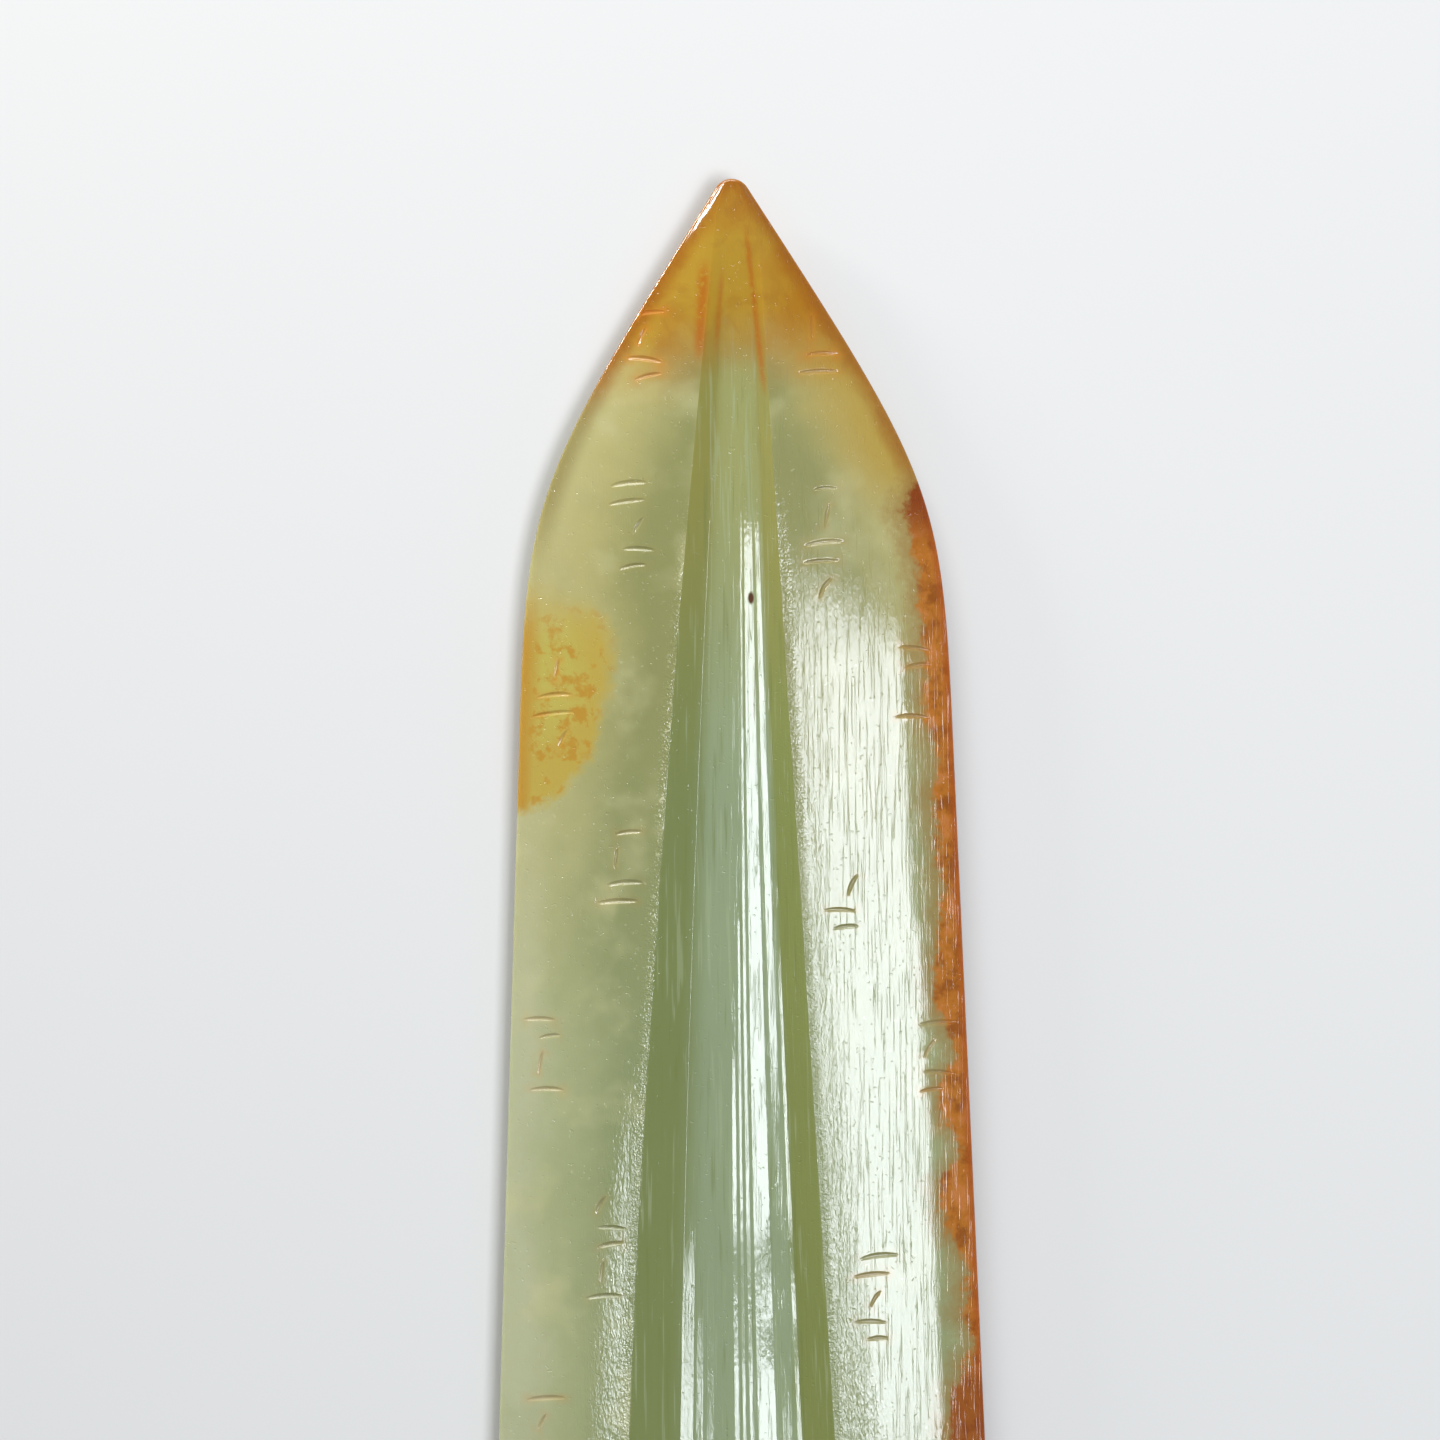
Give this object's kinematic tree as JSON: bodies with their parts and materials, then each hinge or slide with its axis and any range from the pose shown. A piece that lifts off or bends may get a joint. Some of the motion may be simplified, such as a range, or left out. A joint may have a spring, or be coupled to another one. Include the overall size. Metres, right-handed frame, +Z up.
{
  "type": "jade dagger-axe head",
  "caption": "Two-edged jade dagger-axe head with a hollow-ground channel on each face, rows of shallow cut strokes, square heel and a flat tang with a lashing hole.",
  "frame": {"origin": "on the resting plane, under the middle of the bounding box", "axes": "+X across the blade to the russet edge, +Y along the blade to the point, +Z up out of the inscribed face; the axe head lies on its back face"},
  "size_m": [0.0654, 0.28, 0.0076],
  "materials": {
    "jade": "satin"
  },
  "bodies": {
    "root": {"dagger_axe_head": "jade"}
  },
  "joints": []
}
